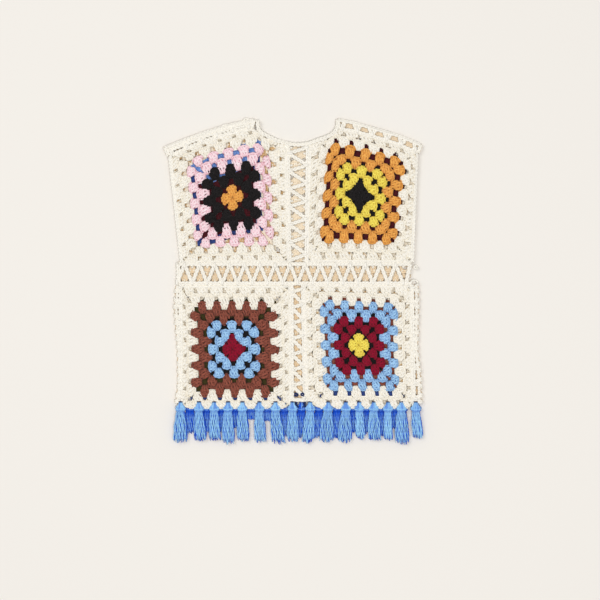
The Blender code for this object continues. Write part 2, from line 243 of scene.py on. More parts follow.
def chainStitch(shape, path, dice, thick=1.0):
    # two strands that part and meet once a link; path holds a point and its upward direction
    lengths = [0.0]
    for (one, _), (other, _) in zip(path, path[1:]):
        lengths.append(lengths[-1] + (other - one).length)
    links = max(1, round(lengths[-1] / chain["link"]))
    steps, drop = chain["steps"], chain["drop"]
    (closed, parted), (thin, swollen) = chain["parting"], chain["swelling"]
    begin = dice.uniform(0, chain["begins"])
    for side in (-1, 1):
        points, radii = [], []
        for number in range(links * steps + 1):
            mark = lengths[-1] * number / (links * steps)
            piece = max(place for place in range(len(path) - 1) if lengths[place] <= mark + 1e-9)
            share = (mark - lengths[piece]) / (lengths[piece + 1] - lengths[piece])
            point = path[piece][0].lerp(path[piece + 1][0], share)
            up = path[piece][1].lerp(path[piece + 1][1], share)
            course = path[piece + 1][0] - path[piece][0]
            aside = course.cross(up).normalized()
            phase = (number / steps + begin) % 1.0
            spread = math.sin(math.pi * phase ** chain["skew"])
            reach = side * chain["spread"] * thick * (closed + parted * spread)
            points.append(point + aside * reach + up * (drop / 2 - drop * phase) * thick)
            radii.append(chain["radius"] * thick * (thin + swollen * spread))
        radii[0] = radii[-1] = chain["radius"] * chain["endRadius"]
        strand(shape, points, radii, shade=dice.uniform(0.0, yarnLook["uneven"]))


def meshOf(name, shape):
    mesh = bpy.data.meshes.new(name)
    shape.to_mesh(mesh)
    shape.free()
    return mesh


def addPiece(name, shape, change, materials):
    # a shape in mm becomes a piece; change maps an array of its points to metres in place
    mesh = meshOf(name, shape)
    points = np.empty(len(mesh.vertices) * 3)
    mesh.vertices.foreach_get("co", points)
    mesh.vertices.foreach_set("co", change(points.reshape(-1, 3)).ravel())
    mesh.update()
    for material in materials:
        mesh.materials.append(material)
    piece = bpy.data.objects.new(name, mesh)
    bpy.context.scene.collection.objects.link(piece)
    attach(piece, bodyName)
    return piece


# painted shade: the inside of the vest lies in shade, so the back's yarn that faces the front is
# drawn deeper in colour
def deepenInside(shape, faces, deep=0.9):  # yarn of the back that faces the front looks deeper
    tone = shape.verts.layers.float["shade"]
    for face in faces:
        if face.normal.z > 0.1:
            for vert in face.verts:
                vert[tone] = max(vert[tone], deep)


# where everything lies

layers = {  # floor and thickness of each layer in mm, with the clearance that cloth leaves
    "back": {"floor": 0.25, "thick": 0.80},
    "front": {"floor": 3.9, "thick": 1.0},
}
squarePlan = {
    # bottom, top, left, right: edges in mm from the middle of the waist, from left to right or
    # upwards; a side that isn't given is straight
    # tips, laps: where each round's clusters end, in rounds from the middle, and how far they
    # start inside the clusters before them
    # hub, snug: how wide the first round's clusters are worked, and those of rounds 2 and 3
    # middle, corners, slides: how far the handmade pattern lies off an even one, in rounds, at
    # its middle, at the corners of round 5 clockwise from the top left, and to the right along
    # its top and its bottom edge
    # backDrift, backTilt: how much further off the back's lies, and how much it tilts
    # free, hem: the sides at an armhole and at the tassels
    # front, back: the yarns from the middle out
    # accent, accents: another colour on the back, and where it is, by round and quarter turn
    "upper_left": {
        "bottom": [(-145.6, 12.3), (-10.0, 12.3)],
        "top": [
            (-160.6, 146.6), (-130.6, 159.1), (-111.9, 166.6), (-81.9, 176.0),
            (-56.9, 181.6), (-44.4, 174.1), (-28.1, 165.4), (-21.0, 163.3),
        ],
        "right": [(-10.0, 12.3), (-11.9, 153.0), (-13.4, 159.6), (-21.0, 163.3)],
        "tips": (1.28, 2.50, 3.62, 4.45, 5.38, 6.34, 7.10),
        "laps": (0.0, 0.05, 0.40, 0.85, 0.30, 0.35, 0.30),
        "hub": 0.88, "snug": 1.17,
        "middle": (0.10, 0.0),
        "corners": ((0.15, 0.40), (-0.45, -0.20), (-0.15, 0.04), (0.26, 0.07)),
        "slides": (0.0, 0.0), "backDrift": (-0.7, -0.1), "backTilt": 0.22,
        "free": ["left"],
        "front": ["orange", "black", "black", "pink", "pink", "cream", "cream"],
        "back": ["maroon", "maroon", "maroon", "navy", "creamPaintedShadeUnder", "creamPaintedShadeUnder", "creamPaintedShadeUnder"],
        # painted light and shade: the top of the back's rounds 3 to 5 is the lit blue, and round 4
        # is navy, its blue in shade
        "accent": "denim", "accents": [(3, 0), (4, 0), (5, 0)],
    },
    "upper_right": {
        "bottom": [(11.3, 12.3), (144.4, 12.3)],
        "top": [
            (22.0, 163.2), (29.4, 165.4), (40.6, 171.0), (51.9, 179.8),
            (65.6, 178.5), (94.4, 170.8), (121.9, 162.3), (150.0, 150.4),
        ],
        "left": [(11.3, 12.3), (12.9, 153.0), (14.4, 159.6), (22.0, 163.2)],
        "tips": (1.42, 2.30, 3.20, 4.05, 5.26, 6.12, 7.05),
        "laps": (0.0, 0.46, 0.30, 0.35, 0.30, 0.40, 0.30),
        "hub": 1.05,
        "middle": (-0.28, 0.22),
        "corners": ((0.55, 0.12), (0.38, 0.38), (-0.50, 0.28), (-0.24, 0.20)),
        "slides": (0.15, 0.0), "backDrift": (0.4, 0.3),
        "free": ["right"],
        "front": ["black", "yellow", "yellow", "orange", "orange", "cream", "cream"],
        "back": ["black", "black", "black", "maroon", "maroon", "creamPaintedShadeUnder", "creamPaintedShadeUnder"],
        "accent": "maroon", "accents": [(6, 0)],
    },
    "lower_left": {
        "bottom": [(-145.6, -169.0), (-6.9, -169.0)],
        "top": [(-145.6, -13.4), (-7.5, -13.4)],
        "tips": (1.29, 2.33, 3.34, 4.58, 5.62, 6.35, 7.10),
        "laps": (0.0, 0.38, 0.30, 0.50, 0.72, 0.95, 0.30),
        "hub": 1.1,
        "middle": (-0.49, -0.33),
        "corners": ((-0.04, -0.44), (-0.07, -0.46), (-0.12, -0.27), (-0.22, -0.23)),
        "slides": (-0.7, 0.0), "backDrift": (0.2, 0.4),
        "hem": ["bottom"],
        "front": ["crimson", "lightBlue", "lightBlue", "brown", "brown", "cream", "cream"],
        "back": ["crimson", "black", "black", "olive", "olive", "creamPaintedShadeUnder", "creamPaintedShadeUnder"],
        "accent": "navy", "accents": [(6, 2)],
    },
    "lower_right": {
        "bottom": [(16.9, -169.0), (145.0, -169.0)],
        "top": [(6.9, -13.4), (142.5, -13.4)],
        "left": [(16.9, -169.0), (10.5, -155.0), (8.8, -138.0), (6.9, -13.4)],
        "tips": (1.28, 2.35, 3.38, 4.22, 5.25, 6.22, 7.12),
        "laps": (0.0, 0.05, 0.35, 0.65, 0.30, 0.60, 0.30),
        "hub": 0.95, "snug": 1.09,
        "middle": (0.03, 0.20),
        "corners": ((0.25, 0.17), (0.08, -0.30), (-0.22, 0.12), (0.35, 0.24)),
        "slides": (0.0, 0.55), "backDrift": (0.0, 0.5),
        "hem": ["bottom"],
        "front": ["yellow", "crimson", "crimson", "lightBlue", "lightBlue", "cream", "cream"],
        "back": ["black", "black", "black", "brown", "brown", "creamPaintedShadeUnder", "creamPaintedShadeUnder"],
        "accent": "navy", "accents": [(6, 2)],
    },
}
edgeRounds = 7.2  # half of a square's side, counted in rounds of a nominal 10 mm
nominal = 10.0
groundGap = 0.06  # mm; yarn that would be lower lies flattened against the floor

# the plan's own zero lies where the CAD squares put it
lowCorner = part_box("back_square_lower_left")[0]
shift = Vector((
    lowCorner[0] / mm - squarePlan["lower_left"]["bottom"][0][0],
    lowCorner[1] / mm - squarePlan["lower_left"]["bottom"][0][1], 0.0,
))


def alongLine(points, shares):
    # points at these shares of a line's length; it runs on straight past its ends
    points = np.array(points, float)
    lengths = np.linalg.norm(np.diff(points, axis=0), axis=1)
    marks = np.concatenate([[0.0], np.cumsum(lengths)]) / lengths.sum()
    beyond = 0.1
    first = points[0] - (points[1] - points[0]) * beyond / marks[1]
    last = points[-1] + (points[-1] - points[-2]) * beyond / (1 - marks[-2])
    marks = np.concatenate([[-beyond], marks, [1 + beyond]])
    points = np.vstack([first, points, last])
    return np.stack([np.interp(shares, marks, points[:, axis]) for axis in (0, 1)], axis=1)


def squareMap(plan, face):  # nominal mm round a square's middle to metres in place
    floor, thick = layers[face]["floor"], layers[face]["thick"]
    drift = plan["backDrift"] if face == "back" else (0.0, 0.0)
    tilt = plan.get("backTilt", 0.0) if face == "back" else 0.0
    ring = 0.74  # where round 5 ends, as a share of half a side
    margin = 0.22  # share of half a side in which the pattern comes back to even at the edge
    bottom, top = plan["bottom"], plan["top"]
    left = plan.get("left", [bottom[0], top[0]])
    right = plan.get("right", [bottom[-1], top[-1]])
    corners = [np.array(corner) for corner in (bottom[0], bottom[-1], top[0], top[-1])]

    def change(points):
        x, y = (points[:, axis] / (nominal * edgeRounds) for axis in (0, 1))
        inner = np.clip(1 - x ** 4, 0, 1) * np.clip(1 - y ** 4, 0, 1)
        reach = np.maximum(np.abs(x), np.abs(y))
        fade = np.clip((1 - reach) / margin, 0, 1)
        middle = np.clip(1 - reach / ring, 0, 1)
        east, north = (np.clip(axis / ring, -1, 1) / 2 + 0.5 for axis in (x, y))
        shares = ((1 - east) * north, east * north, east * (1 - north), (1 - east) * (1 - north))
        off = [
            fade * (
                middle * plan["middle"][axis]
                + (1 - middle) * sum(s * corner[axis] for s, corner in zip(shares, plan["corners"]))
            )
            + drift[axis] * inner
            for axis in (0, 1)
        ]
        slides = plan["slides"][0] * np.clip(y, 0, 1) + plan["slides"][1] * np.clip(-y, 0, 1)
        y = y + off[1] / edgeRounds + tilt * x * inner
        x = x + (off[0] + slides * np.clip(1 - x ** 4, 0, 1)) / edgeRounds
        u, v = (x + 1) / 2, (y + 1) / 2
        across, up = u[:, None], v[:, None]
        rows = alongLine(bottom, u) * (1 - up) + alongLine(top, u) * up
        columns = alongLine(left, v) * (1 - across) + alongLine(right, v) * across
        lows = corners[0] * (1 - across) + corners[1] * across
        highs = corners[2] * (1 - across) + corners[3] * across
        plan2d = rows + columns - (lows * (1 - up) + highs * up)
        height = np.maximum(floor + points[:, 2] * thick, groundGap)
        return np.column_stack([plan2d[:, 0] + shift[0], plan2d[:, 1] + shift[1], height]) * mm

    return change


# granny squares

cluster = {  # three double crochets that share one space
    "start": 0.06,  # rounds from the middle to the first round's clusters
    "cornerLap": 0.6,  # share of a round's lap that its corner clusters have, from round 3 on
    "backLap": 0.1,  # most that a round of the back laps over the one before
    "pitch": 1.9,  # rounds from one cluster to the next
    "pairPitch": 0.92,  # share of that between the two of round 2
    # share of its length from the base, half width in rounds, height of the middle in mm
    "stations": [
        (0.00, 0.18, 2.4), (0.05, 0.31, 3.0), (0.14, 0.42, 3.3), (0.30, 0.54, 3.3),
        (0.50, 0.62, 3.2), (0.70, 0.63, 3.0), (0.86, 0.55, 2.6), (0.96, 0.41, 2.1),
    ],
    "posts": 0.60,  # where the outer posts stand, as a share of the half width
    "postDrop": 0.35,  # mm that they lie lower than the middle one
    "plyRadius": 0.26,  # as a share of the half width
    "plyReach": 0.72,  # from the middle of a post to that of a ply, in ply radii
    "plyTurns": 1.4,
    # yarn laid over from post to post: the two posts, and how far up it starts and ends
    "overs": [(-1, 0, 0.40, 0.52), (0, 1, 0.50, 0.38), (-1, 0, 0.72, 0.80), (0, 1, 0.80, 0.70)],
    # its height over the posts and its radius in mm, at its ends and in its middle
    "overEnds": (-0.9, 0.8), "overMiddle": (-0.55, 1.15),
    # the strand over the posts' heads, from the middle to one side: share of the half width,
    # mm before the tip, mm above the posts, and share of its radius
    "rim": [
        (0.0, 0.3, 0.4, 1.0), (0.44, 0.9, 0.1, 0.9), (0.84, 1.3, 0.2, 1.0), (1.06, 2.9, -0.1, 1.0),
        (1.0, 4.6, -1.0, 0.7),
    ],
    "rimRadius": 1.1,
    "flatten": 0.74,
    "shadeDepth": 2.6,  # mm below its top at which a furrow has its yarn's deep colour
    "shadeMost": 0.9,
    "shadeCurve": 1.25,  # above 1, the deep colour comes in late on the way down
    "sides": {"front": 5, "back": 4},  # of each strand; the back is seen through gaps only
    # a quarter's clusters fan out by this slope for each round that they are off its middle
    "fan": 0.02,
    # how one cluster differs from the next by hand: shapes to a round, slope, mm to the side,
    # and shares of the width and of the height
    "shapes": 3, "leans": 0.04, "strays": 0.5, "widths": (0.96, 1.05), "heights": (0.94, 1.05),
}
roundWidths = [1.0, 0.9, 0.98, 1.02, 0.99, 1.12, 1.25]  # the outer rounds are worked looser
backWidth = 1.12  # how much wider rounds 2 to 5 are on the back
outerRounds = {"from": 6, "height": 0.9}  # they lie flatter
squareEnd = 0.3  # how much wider the heads of the last round are, so that its edge is straight


def roundWidth(plan, face, ring):  # how wide a round's clusters are worked
    if ring == 1:
        return plan["hub"]
    snug = plan.get("snug", 1.0) if ring < 4 else 1.0
    wider = backWidth if face == "back" and ring < outerRounds["from"] else 1.0
    return roundWidths[ring - 1] * snug * wider


def clusterShape(length, widen, widenHeads, sides, seed):
    # stands on y = 0 and grows along +y, in nominal mm
    dice = random.Random(seed)
    shape = bmesh.new()
    stations = []
    for share, half, height in cluster["stations"]:
        loosen = widen + widenHeads * max(0.0, share - 0.5)
        stations.append((share * length * nominal, half * loosen * nominal, height))
    last, away = len(stations) - 1, cluster["plyReach"]
    for post in (-1, 0, 1):
        begin = dice.uniform(0, 2 * math.pi)
        for ply in (0, math.pi):
            points, radii = [], []
            for number, (reach, half, height) in enumerate(stations):
                turn = begin + ply + 2 * math.pi * cluster["plyTurns"] * number / last
                radius = cluster["plyRadius"] * half
                aside = post * cluster["posts"] * half + math.cos(turn) * radius * away
                lift = height - cluster["postDrop"] * abs(post) + math.sin(turn) * radius * away
                points.append(Vector((aside, reach, lift)))
                radii.append(radius)
            strand(shape, points, radii, sides=sides, shade=dice.uniform(0.0, yarnLook["uneven"]))
    tip = length * nominal
    rows = np.array(stations).T

    def spot(post, share, lift):  # on top of a post, at a share of the cluster's length
        half, height = (np.interp(share * tip, rows[0], row) for row in rows[1:])
        return Vector((
            post * cluster["posts"] * half, share * tip, height + cluster["plyRadius"] * half + lift
        ))

    (low, thin), (high, thick) = cluster["overEnds"], cluster["overMiddle"]
    for left, right, start, end in cluster["overs"]:
        middle = (left + right) / 2
        points = [
            spot(left, start, low), spot(middle, (start + end) / 2, high), spot(right, end, low)
        ]
        tint = dice.uniform(0.0, yarnLook["uneven"])
        strand(shape, points, [thin, thick, thin], sides=sides, shade=tint)
    # the loops that the posts hang from: one strand over their heads, in three low arches
    _, half, height = stations[-3]
    rimRows = [(-aside, *rest) for aside, *rest in cluster["rim"][:0:-1]] + cluster["rim"]
    rim = [Vector((half * aside, tip - back, height + lift)) for aside, back, lift, _ in rimRows]
    strand(shape, rim, [cluster["rimRadius"] * row[-1] for row in rimRows], sides=sides)
    flat = Matrix.Diagonal((1, 1, cluster["flatten"], 1))
    bmesh.ops.transform(shape, matrix=flat, verts=shape.verts)
    tone = shape.verts.layers.float["shade"]
    top = max(vert.co.z for vert in shape.verts)
    for vert in shape.verts:  # light dies away in the furrows, and the yarn looks deeper there
        depth = min((top - vert.co.z) / cluster["shadeDepth"], 1.0)
        vert[tone] = max(vert[tone], cluster["shadeMost"] * depth ** cluster["shadeCurve"])
    return meshOf("cluster", shape)


def clusterPlaces(plan, face):  # round, turn, middle across, base and tip of all 112 clusters
    places = []
    for ring, (tip, lap) in enumerate(zip(plan["tips"], plan["laps"]), 1):
        inside = plan["tips"][ring - 2] if ring > 1 else cluster["start"]
        lap = lap if face == "front" else min(lap, cluster["backLap"])
        closer = cluster["pairPitch"] if ring == 2 else 1
        for turn in range(4):
            for number in range(ring):
                across = (number - (ring - 1) / 2) * cluster["pitch"] * closer
                corner = ring > 2 and number in (0, ring - 1)
                base = inside - lap * (cluster["cornerLap"] if corner else 1.0)
                places.append((ring, turn, across, base, tip))
    return places


squareSides = {  # the two ends of each side, in halves of a side from the middle
    "left": ((-1, -1), (-1, 1)), "right": ((1, -1), (1, 1)),
    "bottom": ((-1, -1), (1, -1)), "top": ((-1, 1), (1, 1)),
}
edging = {  # mm from the middle to the edge and along it, height, thickness and number of steps
    "free": (70.6, 71.0, 2.4, 0.85, 30),  # the armhole's edge is bound with a chain
    "joined": (69.6, 69.6, 2.0, 1.3, 16),  # a strand runs on under the heads of the stitches
    "shade": 0.1,  # of that strand
}
edgeSlot, accentSlot = 6, 7  # the last round's yarn and the accent among a square's yarns


def yarnSlot(plan, face, ring, turn):  # which of a square's yarns
    return accentSlot if face == "back" and (ring, turn) in plan["accents"] else ring - 1


def squareYarns(plan, face):
    return [yarns[yarn] for yarn in plan[face]] + [yarns[plan["accent"]]]


def squareStitches(name, plan, face, seed):
    dice = random.Random(seed)
    variants = {}
    shape = bmesh.new()
    for ring, turn, across, base, tip in clusterPlaces(plan, face):
        key = (ring, base, dice.randrange(cluster["shapes"]))
        if key not in variants:
            variants[key] = clusterShape(
                tip - base, roundWidth(plan, face, ring), squareEnd if ring == 7 else 0.0,
                cluster["sides"][face], str(key),
            )
        known = len(shape.verts)
        shape.from_mesh(variants[key])
        shape.verts.ensure_lookup_table()
        shape.faces.ensure_lookup_table()
        verts = shape.verts[known:]
        leans, strays = cluster["leans"], cluster["strays"]
        lean = math.atan2(-across * cluster["fan"], 1.0) + dice.uniform(-leans, leans)
        size = dice.uniform(*cluster["widths"])
        flatter = outerRounds["height"] if ring >= outerRounds["from"] else 1.0
        proud = dice.uniform(*cluster["heights"]) * flatter
        aside = across * nominal + dice.uniform(-strays, strays)
        place = (
            Matrix.Rotation(turn * math.pi / 2, 4, "Z")
            @ Matrix.Translation((aside, base * nominal, 0))
            @ Matrix.Rotation(lean, 4, "Z")
            @ Matrix.Diagonal((size, 1.0, proud, 1.0))
        )
        bmesh.ops.transform(shape, matrix=place, verts=verts)
        slot = yarnSlot(plan, face, ring, turn)
        for vert in verts:
            for touching in vert.link_faces:
                touching.material_index = slot
    # painted shade on the back's cream rounds where they face the front
    if face == "back":
        shape.normal_update()
        pale = [slot for slot, yarn in enumerate(plan[face]) if yarn == "creamPaintedShadeUnder"]
        deepenInside(shape, [part for part in shape.faces if part.material_index in pale])
    for side, ends in squareSides.items():
        if side in plan.get("hem", ()):
            continue
        bound = side in plan.get("free", ())
        reach, along, height, thick, steps = edging["free" if bound else "joined"]
        start, end = (Vector((x * reach, y * along, height)) for x, y in ends)
        points = [start.lerp(end, step / steps) for step in range(steps + 1)]
        edge = bmesh.new()
        if bound:
            chainStitch(edge, [(point, Vector((0, 0, 1))) for point in points], dice, thick=thick)
        else:
            strand(edge, points, [thick] * len(points), shade=edging["shade"])
        for part in edge.faces:
            part.material_index = edgeSlot
        addTo(shape, edge)
    for variant in variants.values():
        bpy.data.meshes.remove(variant)
    return addPiece(name, shape, squareMap(plan, face), squareYarns(plan, face))


web = {
    "cells": 52, "thick": 0.5,
    "height": {"front": 1.5, "back": 2.9},
    "raised": 0.8,  # how much higher it lies on the front in the outer rounds
    "margin": {"front": 0.08, "back": -0.32},  # rounds that it stays within the clusters
    "tipHalf": 0.36,  # half width in rounds at a cluster's tip
    "border": 6.8,  # rounds from the middle to the strip along the joined edges
    "filled": {"front": 0.8, "back": 1.0},  # share of a square that it fills
}


def squareWeb(name, plan, face):
    # the cloth's middle: a thin web of yarn between the stitches, open where the gaps are
    shape = bmesh.new()
    bmesh.ops.create_grid(
        shape, x_segments=web["cells"], y_segments=web["cells"], size=edgeRounds * nominal
    )
    stations = np.array([row[:2] for row in cluster["stations"]] + [(1.0, web["tipHalf"])])
    middles = np.array([cell.calc_center_median()[:2] for cell in shape.faces]) / nominal
    kept = np.full(len(middles), -1)  # the yarn of each cell, below 0 where it is open
    for ring, turn, across, base, tip in clusterPlaces(plan, face):
        angle = -turn * math.pi / 2
        x = middles[:, 0] * math.cos(angle) - middles[:, 1] * math.sin(angle)
        y = middles[:, 0] * math.sin(angle) + middles[:, 1] * math.cos(angle)
        half = np.interp((y - base) / (tip - base), stations[:, 0], stations[:, 1], left=0, right=0)
        reach = half * roundWidth(plan, face, ring) - web["margin"][face]
        inside = (half > 0) & (np.abs(x - across) < reach)
        kept[inside & (kept < 0)] = yarnSlot(plan, face, ring, turn)
    radius = np.abs(middles).max(axis=1)
    border = radius > web["border"]
    for side in plan.get("hem", []) + plan.get("free", []):
        outwards = np.mean(squareSides[side], axis=0)
        border &= middles @ outwards < web["border"]
    kept[border] = edgeSlot
    if face == "back":  # it is closed behind the coloured rounds
        closed = (kept < 0) & (radius < plan["tips"][4])
        kept[closed] = np.searchsorted(plan["tips"], radius[closed])
    shape.faces.ensure_lookup_table()
    gone = []
    for cell, slot in zip(shape.faces, kept):
        if slot < 0:
            gone.append(cell)
        else:
            cell.material_index = int(slot)
    bmesh.ops.delete(shape, geom=gone, context="FACES")
    bmesh.ops.solidify(shape, geom=shape.faces[:], thickness=web["thick"])
    bmesh.ops.recalc_face_normals(shape, faces=shape.faces)
    bmesh.ops.translate(shape, vec=(0, 0, web["height"][face]), verts=shape.verts)
    if face == "front":
        outer = [
            vert for vert in shape.verts
            if all(part.material_index >= outerRounds["from"] - 1 for part in vert.link_faces)
        ]
        bmesh.ops.translate(shape, vec=(0, 0, web["raised"]), verts=outer)
    return addPiece(name, shape, squareMap(plan, face), squareYarns(plan, face))


def flatSize(plan):  # width and length that a square was worked to, in metres
    def length(line):
        return sum(math.dist(one, other) for one, other in zip(line, line[1:])) * mm

    left = plan.get("left", [plan["bottom"][0], plan["top"][0]])
    right = plan.get("right", [plan["bottom"][-1], plan["top"][-1]])
    return (
        (length(plan["bottom"]) + length(plan["top"])) / 2, (length(left) + length(right)) / 2,
    )


for place, plan in squarePlan.items():
    for face in ("back", "front"):
        node = f"{face}_square_{place}"
        stitches = squareStitches(node + "_stitches", plan, face, node)
        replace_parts(stitches, node)
        ground = squareWeb(node + "_web", plan, face)
        width, length = flatSize(plan)
    print("square", place, "worked")


# zigzag bands

band = {
    # share of the width between a band's edge and the middle of its edge chain
    "inset": {
        "waist": 0.02, "middle_upper": 0.0, "middle_lower": 0.0, "shoulder": -0.03, "side": 0.0,
    },
    "cloth": 3.6,
    "gap": 0.3,  # between neighbouring pieces, and between the front and the back
    "foldFlat": 0.37,  # share of a folded band, from either edge, that lies flat
    # chains that run along the flat bands of the back: share of the width, thickness
    "backRidges": [(0.39, 1.1), (0.61, 1.1)],
    # thickness of the bars and of the edges of the flat bands
    "bars": {"front": 0.95, "back": 1.0},
    "edges": {"front": 1.0, "back": 1.25},
    # painted shade on the yarn of the back seen through a band's gaps: how deep it is drawn, less
    # at the neck, where light gets in
    "insideShadePainted": {
        "waist": 0.7, "middle_upper": 0.35, "middle_lower": 0.9, "shoulder": 0.6, "side": 0.9,
    },
    # stretches that the lines of bars, of edges and ridges, and of closing bars are made of
    "steps": {"bar": 10, "edge": 24, "closing": 8},
}
knot = {  # it hooks over the edge chain and holds the two bars that meet there
    "inside": 0.24, "outside": 0.08,  # shares of the width, either side of the band's edge
    "up": 0.6, "over": 0.8,  # share of the thickness, and mm over that
    "radii": [1.0, 2.0, 2.0, 1.1],
}
knotPlan = {
    # place of the first knot, step to the second and on to the third, in shares of the band's
    # length; number of knots; the edge the first is on
    "waist": (0.0125, 0.0304, 0.0304, 31, 1),
    "middle_upper": (0.024, 0.050, 0.100, 14, 1),
    "middle_lower": (0.039, 0.029, 0.1035, 15, 1),
    "shoulder": (0.040, 0.092, 0.092, 11, 0),
    "side": (0.025, 0.0678, 0.0678, 15, 0),
}
foldPlan = {
    "shoulder_band_left": {
        "seam": squarePlan["upper_left"]["top"][:5], "knots": "shoulder",
        "closed": [(0.0, 0.0), (1.0, 1.0)], "ridges": [(0.24, 1.15), (0.44, 1.0), (0.74, 1.2)],
        "fold": [(-166.3, 158.5), (-135.0, 170.8), (-115.0, 178.0), (-84.0, 187.2), (-53.5, 193.5)],
    },
    "shoulder_band_right": {
        "seam": squarePlan["upper_right"]["top"][3:], "knots": "shoulder",
        "closed": [(0.0, 0.0), (1.0, 1.0)], "ridges": [(0.43, 1.0), (0.76, 1.3)],
        "fold": [(50.0, 193.5), (69.0, 190.3), (98.0, 182.0), (127.5, 173.5), (154.6, 162.3)],
    },
    "side_band_left": {
        "seam": [(-145.6, -160.0), (-145.6, -14.0)], "knots": "side",
        "closed": [(0.0, 0.0)], "ridges": [(0.3, 0.7), (0.72, 1.1)],
        "fold": [(-154.5, -160), (-151, -140), (-151.5, -100), (-156, -45), (-154, -14)],
    },
    "side_band_right": {
        "seam": [(144.9, -160.0), (142.5, -14.0)], "knots": "side",
        "closed": [(0.0, 0.0)], "ridges": [(0.3, 0.7), (0.72, 1.1)],
        "fold": [(157.3, -160), (156.5, -130), (152.3, -95), (153.5, -40), (153, -14)],
    },
}
flatPlan = {
    "waist_band": {
        "edges": ([(-154.0, 12.0), (155.0, 12.0)], [(-154.0, -13.1), (155.0, -13.1)]),
        "knots": "waist",
        "ends": (0.018, 0.956), "closed": [(0.018, 0.018), (0.953, 0.936)],
    },
    "middle_band_upper": {
        "edges": ([(-11.6, 160.4), (-9.7, 12.3)], [(12.8, 160.4), (11.0, 12.3)]),
        "knots": "middle_upper", "closed": [],
    },
    "middle_band_lower": {
        "edges": (
            [(-7.2, -13.4), (-6.7, -160.0)], [(6.6, -13.4), (8.5, -138.0), (10.3, -160.0)],
        ),
        "knots": "middle_lower", "closed": [(0.985, 0.985)],
    },
}


def bandKnots(name):
    first, out, back, count, edge = knotPlan[name]
    return [
        (first + (out + back) * (number // 2) + out * (number % 2), (edge + number) % 2)
        for number in range(count)
    ]


def flatMap(edges, floor):  # place along a band, share of its width and of its thickness, to mm
    def change(place, across, up):
        near, far = (Vector(alongLine(edge, [place])[0]) for edge in edges)
        plan2d = near.lerp(far, across)
        return Vector((*plan2d, floor + up * band["cloth"])) + shift

    return change


def foldMap(seam, fold):  # the same for a band that goes round an edge to the back
    cloth, gap, flatShare = band["cloth"], band["gap"], band["foldFlat"]
    middle = (cloth + gap) / 2

    def change(place, across, up):
        start, line = (Vector(alongLine(edge, [place])[0]) for edge in (seam, fold))
        away = (line - start).normalized()
        flat = (line - start).length - middle - cloth / 2 - gap
        turn = min(max((across - flatShare) / (1 - 2 * flatShare), 0.0), 1.0) * math.pi
        reach = gap + flat * min(across, 1 - across, flatShare) / flatShare
        radius = middle + (up - 0.5) * cloth
        plan2d = start + away * (reach + radius * math.sin(turn))
        return Vector((*plan2d, cloth + gap / 2 + radius * math.cos(turn))) + shift

    return change


def courseOf(place, start, end, steps, up=0.5):  # points along a band, each with its upward side
    path = []
    for number in range(steps + 1):
        spot = [one + (other - one) * number / steps for one, other in zip(start, end)]
        point = place(*spot, up)
        path.append((point, (place(*spot, up + 0.1) - point).normalized()))
    return path


def pressed(points):  # mm to metres, with nothing below the floor
    points[:, 2] = np.maximum(points[:, 2], groundGap)
    return points * mm


def zigzagBand(name, kind, place, face="fold", ends=(0.0, 1.0), closed=(), ridges=()):
    # ends are where its edge chains stop, closed where a bar starts and ends that goes across
    # once more, and ridges (share of the width, thickness) run along inside it
    bars, edges = (band[part].get(face, 1.0) for part in ("bars", "edges"))
    flip = face == "back"  # the back's bars cross behind the front's gaps
    dice = random.Random(name)
    shape = bmesh.new()
    inset, steps = band["inset"][kind], band["steps"]
    knots = [(spot, 1 - edge if flip else edge) for spot, edge in bandKnots(kind)]
    for (spot, edge), (nextSpot, nextEdge) in zip(knots, knots[1:]):
        start = (spot, inset + edge * (1 - 2 * inset))
        end = (nextSpot, inset + nextEdge * (1 - 2 * inset))
        chainStitch(shape, courseOf(place, start, end, steps["bar"]), dice, thick=bars)
    for across, thick in [(inset, edges), (1 - inset, edges), *ridges]:
        start, end = ((spot, across) for spot in ends)
        chainStitch(shape, courseOf(place, start, end, steps["edge"]), dice, thick=thick)
    for first, last in closed:
        start, end = (first, inset), (last, 1 - inset)
        chainStitch(shape, courseOf(place, start, end, steps["closing"]), dice)
    for spot, edge in knots:
        inwards = 1 - 2 * edge
        start = (spot, edge - knot["outside"] * inwards)
        end = (spot, edge + knot["inside"] * inwards)
        path = courseOf(place, start, end, len(knot["radii"]) - 1, knot["up"])
        strand(shape, [point + up * knot["over"] for point, up in path], knot["radii"])
    shape.normal_update()
    # the part below the front's cloth is the back's: its cream, with painted shade where it faces
    # the front
    backFaces = [part for part in shape.faces if part.calc_center_median().z < band["cloth"]]
    for part in backFaces:
        part.material_index = 1
    deepenInside(shape, backFaces, band["insideShadePainted"][kind])
    return addPiece(name, shape, pressed, [yarns["cream"], yarns["creamPaintedShadeInside"]])


for face in ("back", "front"):
    floor = layers[face]["floor"]
    for name, plan in flatPlan.items():
        node = f"{face}_{name}"
        place = flatMap(plan["edges"], floor)
        piece = zigzagBand(
            node + "_chains", plan["knots"], place, face,
            ends=plan.get("ends", (0.0, 1.0)), closed=plan["closed"],
            ridges=band["backRidges"] if face == "back" else (),
        )
        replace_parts(piece, node)
for name, plan in foldPlan.items():
    place = foldMap(plan["seam"], plan["fold"])
    piece = zigzagBand(
        name + "_chains", plan["knots"], place, closed=plan["closed"], ridges=plan["ridges"]
    )
    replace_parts(piece, name)


rimPlan = {  # the chain that edges the neck, from the left shoulder round to the right one
    "line": [
        (-49.5, 191.0), (-49.5, 180.0), (-44.0, 174.5), (-25.5, 165.0), (-9.8, 161.0), (0.9, 159.8),
        (14.0, 161.4), (27.1, 166.4), (41.0, 171.4), (48.6, 178.5), (51.0, 191.0),
    ],
    # height in mm, and how much further up it runs between the shoulders
    "front": (6.6, 0.0), "back": (2.2, 1.0),
    "points": 60, "thick": 0.95,
}


